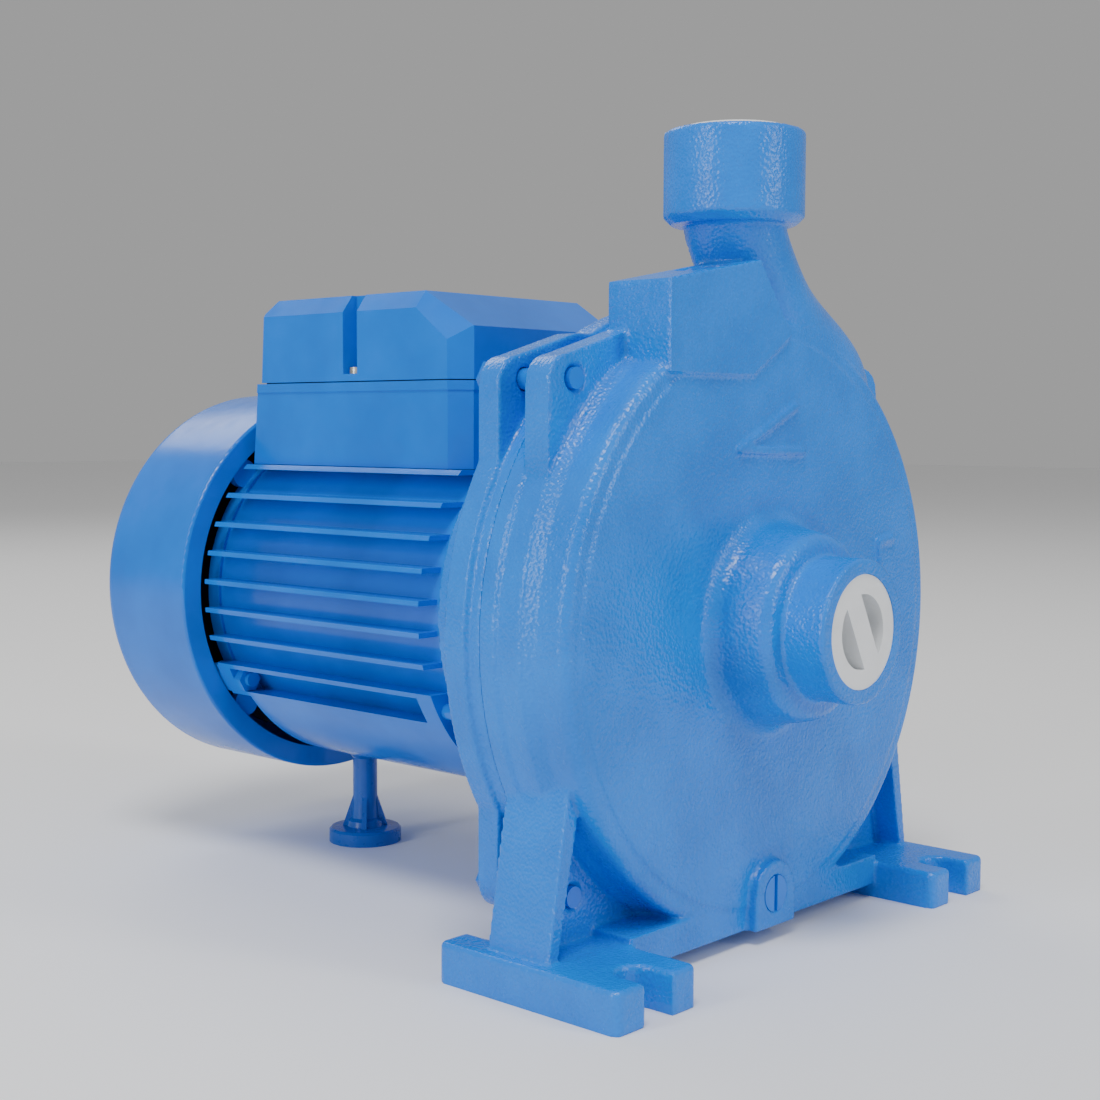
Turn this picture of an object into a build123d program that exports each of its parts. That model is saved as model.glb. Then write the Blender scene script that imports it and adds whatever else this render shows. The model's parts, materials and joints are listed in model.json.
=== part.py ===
from build123d import *
import os
from math import cos, radians, sin

# Close-coupled centrifugal water pump. +Z is up and the shaft runs along +Y, from the suction port
# at the front to the fan at the back. The origin is the centre of the footprint, on the floor.
# Sizes are in millimetres.

os.makedirs("parts", exist_ok=True)

# ---------------------------------------------------------------- driving dimensions
LENGTH = 278.2
SHAFT_Z = 95.5
PORT_Z = 240.5
PORT_Y = 47.2 - LENGTH / 2


def at(back):
    """Station along the shaft, given as a distance behind the discharge axis."""
    return PORT_Y + back


# Stations shared by several pieces, from front to back
SUCTION_Y = -LENGTH / 2
FACE_Y = at(-15.1)
RING_Y = at(-14.5)
CHAMBER_Y = at(-10.0)
FLANGE_Y = at(0.0)
FLANGE_BACK_Y = at(8.8)
JOINT_Y = at(14.0)
LUG_Y = at(18.2)
LUG_BACK_Y = at(26.2)
FRAME_Y = at(62.0)
FIN_Y = at(71.4)
FIN_BACK_Y = at(179.0)
FRAME_BACK_Y = at(180.0)
SHIELD_BACK_Y = at(186.0)
COVER_Y = at(181.0)
COVER_BACK_Y = LENGTH / 2 - 2.1

# Pump casing
DRUM_R = 90.6
CHAMBER_R = 80.0
SPIGOT_R = 84.0
FLANGE_R = 92.8
RIM_R = 93.5
LUG_HALF_X = 81.6
LUG_HALF_Z = 77.5
CROWN_HALF_X = 50.0
CROWN_Z = 180.0
BOSS_R = 21.0
THREAD_R = 16.62
THREAD_DEPTH = 17.2
BOLT_X = 71.0
BOLT_R = 3.0
DRAIN_X = 0.5
DRAIN_Z = 14.4
PRIME_X = -19.5
PRIME_SEAT_Z = 195.5
PRIME_Y = at(-4.5)
PRIME_SPOT_R = 8.5
BLOCK_H = 1.0
MARK_T = 2.0
MARK_H = 1.1

# Feet
FOOT_INNER_X = 61.8
FOOT_OUTER_X = 94.9
FOOT_FRONT = at(-36.3)
FOOT_BACK = at(28.6)
FOOT_T = 11.6
SLOT_X = 77.9
SLOT_R = 5.75
SLOT_REACH = 13.3
LEG_Y = at(-9.0)
LEG_T = 3.8
LEG_BOTTOM_X = 91.3
RAIL_Z = 4.4
RAIL_TOP_Z = 14.0

# Impeller and seal
IMPELLER_R = 70.0
HUB_R = 12.0
KEY_HALF = 2.0
BARREL_R = 46.0
O_RING_R = 1.45

# Motor
FRAME_R = 54.0
BORE_R = 50.0
FIN_TIP_R = 61.8
FIN_T = 1.6
FIN_PITCH = 9.88
FIN_MID_Z = 99.49
BELLY_Z = 60.0
STATOR_Y = at(95.0)
STATOR_BACK_Y = at(155.0)
STATOR_SLOTS = 24
ROTOR_R = 29.65
SCREW_R = 2.5
LOW_SCREW = (49.5, 65.0)
TOP_SCREW = (24.0, 147.0)
COVER_R = 69.4
COVER_T = 1.5
COVER_LIP_R = 62.0
COVER_SCREW_R = 61.6
FAN_R = 56.5
STAND_Y = at(165.75)
STAND_R = 13.3

# Rolling bearings: width, bore radius, outer radius, ball circle radius, ball radius
FRONT_BEARING = (at(48.0), 12.0, 8.5, 20.0, 14.25, 3.35)
REAR_BEARING = (at(170.0), 11.0, 7.5, 17.5, 12.5, 2.95)
BALLS = 8
BALL_PLAY = 0.05

# Terminal box
BOX_HALF_X = 40.7
BOX_FRONT = at(74.3)
BOX_CORNER = 6.0
BOX_Z = 140.0
BOX_LIP_Z = 164.9
BOX_RIM_Z = 167.9
LID_Z = 168.3
BOX_TOP_Z = 196.8
BOX_WALL = 2.5
PAD_Z = 150.3
FLOOR_Z = 152.3
CHANNEL_Y = at(126.4)
CHANNEL_HALF = 3.5
CHANNEL_Z = 170.7
CHANNEL_X = 34.7
LID_SCREW_X = 37.4
GLAND_Y = at(158.0)
GLAND_Z = 159.5
GLAND_BORE_R = 3.6

SHAFT_AXIS = Axis((0, 0, SHAFT_Z), (0, 1, 0))
SHAFT_PLANE = Plane(origin=(0, 0, SHAFT_Z), x_dir=(0, 1, 0), z_dir=(1, 0, 0))
BOLT_SPOTS = [(sx * BOLT_X, SHAFT_Z + sz * BOLT_X) for sx in (-1, 1) for sz in (-1, 1)]
LOW_SCREWS = [(side * LOW_SCREW[0], LOW_SCREW[1]) for side in (-1, 1)]
FRAME_SCREWS = LOW_SCREWS + [(side * TOP_SCREW[0], TOP_SCREW[1]) for side in (-1, 1)]
BOX_SCREWS = [(side * 14.0, at(y)) for side in (-1, 1) for y in (86.0, 166.0)]
COVER_SCREWS = [
    (COVER_SCREW_R * cos(radians(angle)), SHAFT_Z + COVER_SCREW_R * sin(radians(angle)))
    for angle in (45, 135, 225, 315)
]


# ---------------------------------------------------------------- helpers
def facing_front(y):
    """Upright plane across the shaft at station y. Its x is +X, its y is +Z, and it looks forward."""
    return Plane(origin=(0, y, 0), x_dir=(1, 0, 0), z_dir=(0, -1, 0))


def turned(outline, rounds=None, mode=Mode.ADD):
    """Turn an outline of (station, radius) points about the shaft, with some corners rounded."""
    with BuildSketch(SHAFT_PLANE) as section:
        with BuildLine():
            Polyline(*outline, close=True)
        make_face()
        for corner, radius in (rounds or {}).items():
            fillet(section.vertices().sort_by_distance(Vector(*outline[corner]))[0], radius)
    revolve(section.sketch, axis=SHAFT_AXIS, mode=mode)


def ring(start, end, inner, outer, mode=Mode.ADD):
    """Plain ring or disc about the shaft between two stations."""
    turned([(start, inner), (end, inner), (end, outer), (start, outer)], mode=mode)


def spun(x, y, outline, mode=Mode.ADD):
    """Turn an outline of (radius, height) points about an upright axis."""
    with BuildSketch(Plane(origin=(x, y, 0), x_dir=(1, 0, 0), z_dir=(0, -1, 0))) as section:
        with BuildLine():
            Polyline(*outline, close=True)
        make_face()
    revolve(section.sketch, axis=Axis((x, y, 0), (0, 0, 1)), mode=mode)


def rod(x, z, radius, start, end, mode=Mode.ADD):
    """Round bar parallel to the shaft between two stations."""
    with BuildSketch(facing_front(start)) as section:
        with Locations((x, z)):
            Circle(radius)
    extrude(section.sketch, amount=start - end, mode=mode)


def hexagon(x, z, across_flats, start, end):
    """Hexagonal bar parallel to the shaft between two stations."""
    with BuildSketch(facing_front(start)) as section:
        with Locations((x, z)):
            RegularPolygon(across_flats / 2, 6, major_radius=False)
    extrude(section.sketch, amount=start - end)


def post(x, y, radius, bottom, top, mode=Mode.ADD):
    """Upright round bar between two heights."""
    with BuildSketch(Plane.XY.offset(bottom)) as section:
        with Locations((x, y)):
            Circle(radius)
    extrude(section.sketch, amount=top - bottom, mode=mode)


def slab(low, high, mode=Mode.ADD):
    """Block between its lowest and highest corners."""
    with BuildSketch(Plane.XY.offset(low[2])) as section:
        with Locations(((low[0] + high[0]) / 2, (low[1] + high[1]) / 2)):
            Rectangle(high[0] - low[0], high[1] - low[1])
    extrude(section.sketch, amount=high[2] - low[2], mode=mode)


def polar(radius, angle):
    """Point on the face of the pump, about the shaft, anticlockwise from +X seen from the front."""
    return (radius * cos(radians(angle)), SHAFT_Z + radius * sin(radians(angle)))


def save(part, name):
    """Label one finished piece and write its STEP file."""
    part.label = name
    export_step(part, f"parts/{name}.step")


# ---------------------------------------------------------------- pump casing
# Discharge neck, from the port down into the drum: x, z, slope of the centre line in degrees below
# the horizontal, half-width across the bend, half-depth along the shaft.
NECK = [
    (0.2, 216.0, 90.0, 15.0, 15.4),
    (2.0, 209.5, 74.0, 14.2, 15.2),
    (8.5, 199.0, 57.0, 14.4, 15.0),
    (17.0, 187.6, 43.0, 16.4, 14.8),
    (33.0, 177.0, 38.0, 16.8, 14.2),
    (52.0, 162.0, 44.0, 15.8, 13.2),
    (68.0, 141.0, 60.0, 12.0, 12.2),
]
# Water passage inside it, down to the pump chamber
PASSAGE = [
    (0.0, 224.0, 90.0, 11.8, 11.8),
    (1.2, 209.5, 74.0, 11.0, 11.0),
    (7.5, 199.0, 53.0, 10.8, 10.6),
    (18.0, 188.5, 42.0, 10.8, 10.2),
    (33.0, 177.0, 37.0, 10.8, 9.8),
    (50.0, 160.0, 50.0, 10.0, 9.0),
    (58.0, 144.0, 70.0, 8.0, 8.0),
]


def neck_section(x, z, slope, half_width, half_depth):
    """Oval section square to the centre line of the neck."""
    ahead = (cos(radians(slope)), 0, -sin(radians(slope)))
    with BuildSketch(Plane(origin=(x, PORT_Y, z), x_dir=(0, 1, 0), z_dir=ahead)) as section:
        Ellipse(half_depth, half_width)
    return section.sketch.faces()[0]


def lug_outline(radius):
    """Outline shared by the casing flange and the bracket: a disc, four corner lugs and a crown."""
    with Locations((0, SHAFT_Z)):
        Circle(radius)
        RectangleRounded(2 * LUG_HALF_X, 2 * LUG_HALF_Z, 8)
    Polygon(
        (4 - LUG_HALF_X, SHAFT_Z + LUG_HALF_Z - 1),
        (-CROWN_HALF_X, CROWN_Z),
        (CROWN_HALF_X, CROWN_Z),
        (LUG_HALF_X - 4, SHAFT_Z + LUG_HALF_Z - 1),
        align=None,
    )


with BuildPart() as pump_casing:
    # Feet, each with an open-ended slot at the front and at the back
    with BuildSketch(Plane.XY) as soles:
        for side in (-1, 1):
            with Locations((side * (FOOT_INNER_X + FOOT_OUTER_X) / 2, (FOOT_FRONT + FOOT_BACK) / 2)):
                RectangleRounded(FOOT_OUTER_X - FOOT_INNER_X, FOOT_BACK - FOOT_FRONT, 2.5)
            for end in (FOOT_FRONT, FOOT_BACK):
                with Locations((side * SLOT_X, end)):
                    SlotOverall(2 * SLOT_REACH, 2 * SLOT_R, rotation=90, mode=Mode.SUBTRACT)
    extrude(soles.sketch, amount=FOOT_T)
    fillet(pump_casing.edges().group_by(Axis.Z)[-1], 1.4)

    # Rail between the feet, and the flat legs that carry the drum
    slab((-FOOT_INNER_X - 1, RING_Y, RAIL_Z), (FOOT_INNER_X + 1, JOINT_Y - 0.6, RAIL_TOP_Z))
    with BuildSketch(facing_front(LEG_Y)) as legs:
        for side in (-1, 1):
            with BuildLine():
                Polyline(
                    (side * LEG_BOTTOM_X, 8.0),
                    (side * 82.0, 62.0),
                    (side * 83.0, 74.0),
                    (side * 72.0, 74.0),
                    (side * 78.8, 51.0),
                    (side * (LEG_BOTTOM_X - LEG_T), 8.0),
                    close=True,
                )
            make_face()
    extrude(legs.sketch, amount=LEG_Y - JOINT_Y + 0.6)

    # Flange with its corner lugs, carried down as the wall behind the leg pockets
    with BuildSketch(facing_front(FLANGE_Y)) as flange:
        lug_outline(FLANGE_R)
        with BuildLine():
            Polyline((-88, FOOT_T), (88, FOOT_T), (79, 55), (-79, 55), close=True)
        make_face()
    extrude(flange.sketch, amount=FLANGE_Y - FLANGE_BACK_Y)

    # Drum, suction hub, suction boss, and the cove between drum and flange
    turned(
        [
            (SUCTION_Y, 0),
            (SUCTION_Y, BOSS_R),
            (at(-33.6), BOSS_R),
            (at(-32.6), 27.0),
            (at(-21.0), 29.5),
            (FACE_Y, 30.5),
            (FACE_Y, DRUM_R - 6.4),
            (RING_Y, DRUM_R - 5.8),
            (RING_Y, DRUM_R),
            (FLANGE_Y, DRUM_R + 0.4),
            (FLANGE_BACK_Y, DRUM_R + 0.4),
            (FLANGE_BACK_Y, RIM_R),
            (JOINT_Y, RIM_R),
            (JOINT_Y, 0),
        ],
        {1: 0.8, 2: 0.9, 3: 4.0, 5: 5.5, 8: 3.2},
    )
    turned(
        [
            (at(-4.5), DRUM_R - 2),
            (at(-4.5), DRUM_R + 0.25),
            (at(-1.3), DRUM_R + 1.5),
            (at(0.1), FLANGE_R - 0.4),
            (at(1.0), DRUM_R - 2),
        ]
    )

    # Flat block beside the neck
    with BuildSketch(facing_front(FACE_Y - BLOCK_H)) as block:
        with BuildLine():
            Polyline((-50, 168.4), (-50, 193.8), (-8.3, 201.7), (8.3, 180.6), (-11, 168.4), close=True)
        make_face()
    extrude(block.sketch, amount=FACE_Y - BLOCK_H - at(6.5))

    # Discharge neck and boss
    loft([neck_section(*station) for station in NECK])
    spun(
        0,
        PORT_Y,
        [
            (0, PORT_Z),
            (BOSS_R - 0.7, PORT_Z),
            (BOSS_R, PORT_Z - 0.7),
            (BOSS_R, PORT_Z - 25.0),
            (BOSS_R - 2.6, PORT_Z - 27.4),
            (0, PORT_Z - 27.4),
        ],
    )

    # Joint face, cut back where the neck would cross it
    ring(JOINT_Y, at(18.0), 0, RIM_R, mode=Mode.SUBTRACT)

    # Drain boss: an arch on the face, standing on the rail
    with BuildSketch(facing_front(at(-18.2))) as arch:
        with Locations((DRAIN_X, DRAIN_Z)):
            Circle(10.0)
        with Locations((DRAIN_X, (RAIL_Z + DRAIN_Z) / 2)):
            Rectangle(20.0, DRAIN_Z - RAIL_Z)
        with Locations((DRAIN_X, RAIL_Z - 10)):
            Rectangle(40, 20, mode=Mode.SUBTRACT)
    extrude(arch.sketch, amount=-8)

    # Raised rotation mark: an open arrowhead and the end of its tail
    with BuildSketch(facing_front(FACE_Y - MARK_H)) as mark:
        for start, end in (
            ((-17.0, 147.0), (11.0, 159.8)),
            ((-17.0, 147.0), (15.0, 146.3)),
            ((59.5, 117.0), (67.3, 117.9)),
            ((59.5, 117.0), (60.2, 109.4)),
        ):
            SlotCenterPoint(((start[0] + end[0]) / 2, (start[1] + end[1]) / 2), end, MARK_T)
    extrude(mark.sketch, amount=-MARK_H - 1)

    # Pump chamber, spigot bore, eye bore, inlet and suction thread
    turned(
        [
            (CHAMBER_Y, 0),
            (CHAMBER_Y, CHAMBER_R),
            (at(4.0), CHAMBER_R),
            (at(4.0), SPIGOT_R),
            (JOINT_Y, SPIGOT_R),
            (JOINT_Y, 0),
        ],
        {1: 3.0},
        mode=Mode.SUBTRACT,
    )
    ring(at(-22.0), CHAMBER_Y, 0, 20.6, mode=Mode.SUBTRACT)
    ring(SUCTION_Y, at(-22.0), 0, 13.5, mode=Mode.SUBTRACT)
    ring(SUCTION_Y, SUCTION_Y + THREAD_DEPTH, 0, THREAD_R, mode=Mode.SUBTRACT)

    # Discharge thread and passage
    loft([neck_section(*station) for station in PASSAGE], mode=Mode.SUBTRACT)
    post(0, PORT_Y, THREAD_R, PORT_Z - THREAD_DEPTH, PORT_Z, mode=Mode.SUBTRACT)

    # Bolt holes with a shallow spot face, drain hole, and the priming hole in the sloping top
    for x, z in BOLT_SPOTS:
        rod(x, z, BOLT_R, FLANGE_Y, FLANGE_BACK_Y, mode=Mode.SUBTRACT)
        rod(x, z, 4.2, at(-5.0), at(0.9), mode=Mode.SUBTRACT)
    rod(DRAIN_X, DRAIN_Z, 5.5, at(-18.2), at(-15.2), mode=Mode.SUBTRACT)
    rod(DRAIN_X, DRAIN_Z, 4.0, at(-15.2), at(-3.0), mode=Mode.SUBTRACT)
    post(PRIME_X, PRIME_Y, 4.5, 165, PRIME_SEAT_Z, mode=Mode.SUBTRACT)
    post(PRIME_X, PRIME_Y, PRIME_SPOT_R, PRIME_SEAT_Z, PRIME_SEAT_Z + 6, mode=Mode.SUBTRACT)
save(pump_casing.part, "pump_casing")

with BuildPart() as drain_plug:
    rod(DRAIN_X, DRAIN_Z, 5.5, at(-18.1), at(-15.2))
    rod(DRAIN_X, DRAIN_Z, 4.0, at(-15.2), at(-10.5))
    slab((DRAIN_X - 0.8, at(-18.1), 0), (DRAIN_X + 0.8, at(-16.6), 30), mode=Mode.SUBTRACT)
save(drain_plug.part, "drain_plug")

with BuildPart() as priming_plug:
    post(PRIME_X, PRIME_Y, 4.5, PRIME_SEAT_Z - 14, PRIME_SEAT_Z)
    post(PRIME_X, PRIME_Y, PRIME_SPOT_R - 0.9, PRIME_SEAT_Z, PRIME_SEAT_Z + 2.4)
    chamfer(priming_plug.edges().group_by(Axis.Z)[-1], 0.6)
    with BuildSketch(Plane.XY.offset(PRIME_SEAT_Z + 2.4)) as socket:
        with Locations((PRIME_X, PRIME_Y)):
            RegularPolygon(3.0, 6, major_radius=False)
    extrude(socket.sketch, amount=-4, mode=Mode.SUBTRACT)
save(priming_plug.part, "priming_plug")


def recess(face_plane, depth):
    """Round recess in a plug, leaving one diagonal rib across it."""
    with BuildSketch(face_plane) as pocket:
        Circle(10.9)
        Rectangle(8.0, 24.0, rotation=28, mode=Mode.SUBTRACT)
    extrude(pocket.sketch, amount=-depth, mode=Mode.SUBTRACT)


PLUG_R = THREAD_R - 0.06
with BuildPart() as suction_plug:
    ring(SUCTION_Y + 0.3, SUCTION_Y + THREAD_DEPTH - 0.3, 0, PLUG_R)
    recess(Plane(origin=(0, SUCTION_Y + 0.3, SHAFT_Z), x_dir=(1, 0, 0), z_dir=(0, -1, 0)), 9)
save(suction_plug.part, "suction_plug")

with BuildPart() as discharge_plug:
    spun(
        0,
        PORT_Y,
        [
            (0, PORT_Z - THREAD_DEPTH + 0.3),
            (PLUG_R, PORT_Z - THREAD_DEPTH + 0.3),
            (PLUG_R, PORT_Z + 0.6),
            (PLUG_R - 0.6, PORT_Z + 1.1),
            (0, PORT_Z + 1.1),
        ],
    )
    recess(Plane(origin=(0, PORT_Y, PORT_Z + 1.1), x_dir=(1, 0, 0), z_dir=(0, 0, 1)), 9)
save(discharge_plug.part, "discharge_plug")

# ---------------------------------------------------------------- bracket, bolts and seal
with BuildPart() as bracket:
    with BuildSketch(facing_front(LUG_Y)) as lugs:
        lug_outline(FOOT_OUTER_X)
    extrude(lugs.sketch, amount=LUG_Y - LUG_BACK_Y)
    turned(
        [
            (at(5.0), 0),
            (at(5.0), SPIGOT_R),
            (JOINT_Y, SPIGOT_R),
            (JOINT_Y, RIM_R),
            (LUG_BACK_Y, RIM_R),
            (LUG_BACK_Y, 56.0),
            (at(32.0), BARREL_R + 4),
            (at(36.0), BARREL_R),
            (at(50.0), BARREL_R),
            (at(55.0), BARREL_R + 6),
            (at(55.0), FIN_TIP_R + 0.7),
            (FRAME_Y, FIN_TIP_R + 0.7),
            (FRAME_Y, BORE_R),
            (at(66.0), BORE_R),
            (at(66.0), 0),
        ],
        {9: 1.0, 10: 1.0},
    )
    # Hollow barrel, shaft bore, seal pocket, seat bore and bearing bore
    turned(
        [
            (at(12.0), 24),
            (at(35.0), 24),
            (at(35.0), 0),
            (at(46.0), 0),
            (at(46.0), 25),
            (at(58.0), 25),
            (at(58.0), 41),
            (at(12.0), 41),
        ],
        mode=Mode.SUBTRACT,
    )
    ring(at(5.0), at(66.0), 0, 9.0, mode=Mode.SUBTRACT)
    ring(at(5.0), at(24.0), 0, 20.0, mode=Mode.SUBTRACT)
    ring(at(24.0), at(31.0), 0, 14.0, mode=Mode.SUBTRACT)
    ring(at(48.0), at(66.0), 0, FRONT_BEARING[3], mode=Mode.SUBTRACT)
    # Groove for the O-ring, drip slot under the barrel, and screw holes
    ring(at(9.5 - 1.9), at(9.5 + 1.9), SPIGOT_R - 3, SPIGOT_R + 1, mode=Mode.SUBTRACT)
    slab((-9, at(37.0), 40), (9, at(50.0), 70), mode=Mode.SUBTRACT)
    for x, z in BOLT_SPOTS:
        rod(x, z, BOLT_R + 0.3, LUG_Y, LUG_BACK_Y, mode=Mode.SUBTRACT)
    for x, z in FRAME_SCREWS:
        rod(x, z, SCREW_R + 0.2, at(50.0), FRAME_Y, mode=Mode.SUBTRACT)
save(bracket.part, "bracket")

with BuildPart() as casing_o_ring:
    with BuildSketch(SHAFT_PLANE) as o_section:
        with Locations((at(9.5), SPIGOT_R - O_RING_R)):
            Circle(O_RING_R)
    revolve(o_section.sketch, axis=SHAFT_AXIS)
save(casing_o_ring.part, "casing_o_ring")

with BuildPart() as casing_bolts:
    for x, z in BOLT_SPOTS:
        rod(x, z, BOLT_R, at(-0.6), LUG_BACK_Y + 1.6)
        hexagon(x, z, 10.0, LUG_BACK_Y + 1.6, LUG_BACK_Y + 5.6)
save(casing_bolts.part, "casing_bolts")

with BuildPart() as bolt_washers:
    for x, z in BOLT_SPOTS:
        rod(x, z, 6.0, LUG_BACK_Y, LUG_BACK_Y + 1.6)
        rod(x, z, BOLT_R, LUG_BACK_Y, LUG_BACK_Y + 1.6, mode=Mode.SUBTRACT)
save(bolt_washers.part, "bolt_washers")

with BuildPart() as seal_seat:
    ring(at(24.0), at(31.0), 8.5, 11.5)
save(seal_seat.part, "seal_seat")

with BuildPart() as seat_cup:
    turned([(at(24.5), 11.5), (at(31.0), 11.5), (at(31.0), 14.0), (at(24.5), 14.0)], {3: 1.0})
save(seat_cup.part, "seat_cup")

with BuildPart() as carbon_ring:
    turned(
        [(at(17.0), 8), (at(23.95), 8), (at(23.95), 11), (at(22.5), 11), (at(22.5), 13), (at(17.0), 13)]
    )
save(carbon_ring.part, "carbon_ring")

with BuildPart() as seal_bellows:
    turned(
        [
            (at(6.0), 7.0),
            (at(17.0), 7.0),
            (at(17.0), 12.0),
            (at(15.5), 12.0),
            (at(15.5), 9.0),
            (at(13.5), 9.0),
            (at(12.5), 8.4),
            (at(11.5), 9.0),
            (at(10.5), 8.4),
            (at(9.5), 9.0),
            (at(6.0), 9.0),
        ]
    )
save(seal_bellows.part, "seal_bellows")

SPRING_R = 10.5
WIRE_R = 0.8
with BuildPart() as seal_spring:
    with BuildLine() as coil:
        Helix(
            pitch=2.6,
            height=7.9,
            radius=SPRING_R,
            center=(0, at(6.0) + WIRE_R, SHAFT_Z),
            direction=(0, 1, 0),
        )
    with BuildSketch(Plane(origin=coil.line @ 0, z_dir=coil.line % 0)) as wire:
        Circle(WIRE_R)
    sweep(wire.sketch, path=coil.line)
save(seal_spring.part, "seal_spring")

with BuildPart() as slinger:
    turned(
        [
            (at(38.0), 7.0),
            (at(42.0), 7.0),
            (at(42.0), 9.5),
            (at(40.8), 10.0),
            (at(40.8), 16.0),
            (at(39.6), 16.0),
            (at(39.2), 10.0),
            (at(38.0), 9.5),
        ]
    )
save(slinger.part, "slinger")

# ---------------------------------------------------------------- impeller
VANES = 6
with BuildPart() as impeller:
    turned(
        [
            (at(-15.0), 17.0),
            (at(-15.0), 20.2),
            (at(-7.4), 20.2),
            (at(-7.0), 24.0),
            (at(-6.6), IMPELLER_R),
            (at(-4.6), IMPELLER_R),
            (at(-5.0), 24.0),
            (at(-6.0), 17.0),
        ]
    )
    turned(
        [
            (at(-5.0), 0),
            (at(-5.0), HUB_R - 1),
            (at(-4.0), HUB_R),
            (at(1.0), HUB_R + 5),
            (at(1.0), IMPELLER_R),
            (at(3.4), IMPELLER_R),
            (at(3.4), HUB_R),
            (at(6.0), HUB_R),
            (at(6.0), 0),
        ]
    )
    for index in range(VANES):
        angle = index * 360 / VANES
        with BuildSketch(facing_front(at(-4.9))) as vane:
            with BuildLine() as camber:
                ThreePointArc(polar(22, angle), polar(44, angle - 27), polar(69.2, angle - 62))
            trace(camber.line, line_width=2.6)
        extrude(vane.sketch, amount=-6.2)
    ring(at(-5.0), at(6.0), 0, 6.0, mode=Mode.SUBTRACT)
    slab((-KEY_HALF, at(-5.0), SHAFT_Z), (KEY_HALF, at(5.0), SHAFT_Z + 7.5), mode=Mode.SUBTRACT)
save(impeller.part, "impeller")

with BuildPart() as impeller_key:
    slab((-KEY_HALF, at(-4.0), SHAFT_Z + 3.5), (KEY_HALF, at(5.0), SHAFT_Z + 7.5))
save(impeller_key.part, "impeller_key")

with BuildPart() as impeller_washer:
    ring(at(-6.5), at(-5.0), 5.0, 10.0)
save(impeller_washer.part, "impeller_washer")

with BuildPart() as impeller_nut:
    hexagon(0, SHAFT_Z, 17.0, at(-12.5), at(-6.5))
    chamfer(impeller_nut.faces().sort_by(Axis.Y)[0].edges(), 0.8)
    ring(at(-12.5), at(-6.5), 0, 5.0, mode=Mode.SUBTRACT)
save(impeller_nut.part, "impeller_nut")

# ---------------------------------------------------------------- shaft and rotor
with BuildPart() as shaft:
    turned(
        [
            (at(-14.0), 0),
            (at(-14.0), 4.2),
            (at(-13.2), 5.0),
            (at(-5.0), 5.0),
            (at(-5.0), 6.0),
            (at(6.0), 6.0),
            (at(6.0), 7.0),
            (at(48.0), 7.0),
            (at(48.0), 8.5),
            (at(60.0), 8.5),
            (at(60.0), 10.0),
            (at(92.0), 10.0),
            (at(92.0), 11.0),
            (at(158.0), 11.0),
            (at(158.0), 9.5),
            (at(170.0), 9.5),
            (at(170.0), 7.5),
            (at(181.0), 7.5),
            (at(181.0), 7.0),
            (at(218.0), 7.0),
            (at(218.0), 6.4),
            (at(219.2), 6.4),
            (at(219.2), 7.0),
            (at(221.4), 7.0),
            (at(222.0), 6.4),
            (at(222.0), 0),
        ]
    )
    slab((-KEY_HALF, at(-4.0), SHAFT_Z + 3.5), (KEY_HALF, at(5.0), SHAFT_Z + 7.5), mode=Mode.SUBTRACT)
save(shaft.part, "shaft")

with BuildPart() as rotor_core:
    ring(STATOR_Y, STATOR_BACK_Y, 11.0, ROTOR_R)
save(rotor_core.part, "rotor_core")

with BuildPart() as rotor_end_rings:
    ring(at(88.0), STATOR_Y, 15.0, 28.5)
    ring(STATOR_BACK_Y, at(162.0), 15.0, 28.5)
save(rotor_end_rings.part, "rotor_end_rings")

# ---------------------------------------------------------------- bearings


def outer_ring(bearing):
    """Outer ring of a ball bearing, with its ball groove."""
    start, width, _, outer, pitch, ball = bearing
    ring(start, start + width, pitch + 0.7 * ball, outer)
    groove(start + width / 2, pitch, ball)


def inner_ring(bearing):
    """Inner ring of a ball bearing, with its ball groove."""
    start, width, bore, _, pitch, ball = bearing
    ring(start, start + width, bore, pitch - 0.62 * ball)
    groove(start + width / 2, pitch, ball)


def groove(middle, pitch, ball):
    """Ball track cut into a bearing ring."""
    with BuildSketch(SHAFT_PLANE) as track:
        with Locations((middle, pitch)):
            Circle(ball + BALL_PLAY)
    revolve(track.sketch, axis=SHAFT_AXIS, mode=Mode.SUBTRACT)


def ball_spots(bearing):
    """Centres of the balls."""
    start, width, _, _, pitch, _ = bearing
    spots = [polar(pitch, (index + 0.37) * 360 / BALLS) for index in range(BALLS)]
    return [(x, start + width / 2, z) for x, z in spots]


def balls(bearing, mode=Mode.ADD):
    """All the balls of a bearing."""
    with Locations(*ball_spots(bearing)):
        Sphere(bearing[5], mode=mode)


def cage(bearing):
    """Ball cage: a band with one pocket for each ball."""
    start, width, _, _, pitch, ball = bearing
    middle = start + width / 2
    ring(middle - ball - 0.7, middle + ball + 0.7, pitch - 0.3 * ball, pitch + 0.3 * ball)
    balls(bearing, mode=Mode.SUBTRACT)


with BuildPart() as front_outer_ring:
    outer_ring(FRONT_BEARING)
save(front_outer_ring.part, "front_outer_ring")

with BuildPart() as front_inner_ring:
    inner_ring(FRONT_BEARING)
save(front_inner_ring.part, "front_inner_ring")

with BuildPart() as front_balls:
    balls(FRONT_BEARING)
save(front_balls.part, "front_balls")

with BuildPart() as front_cage:
    cage(FRONT_BEARING)
save(front_cage.part, "front_cage")

with BuildPart() as rear_outer_ring:
    outer_ring(REAR_BEARING)
save(rear_outer_ring.part, "rear_outer_ring")

with BuildPart() as rear_inner_ring:
    inner_ring(REAR_BEARING)
save(rear_inner_ring.part, "rear_inner_ring")

with BuildPart() as rear_balls:
    balls(REAR_BEARING)
save(rear_balls.part, "rear_balls")

with BuildPart() as rear_cage:
    cage(REAR_BEARING)
save(rear_cage.part, "rear_cage")

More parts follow.
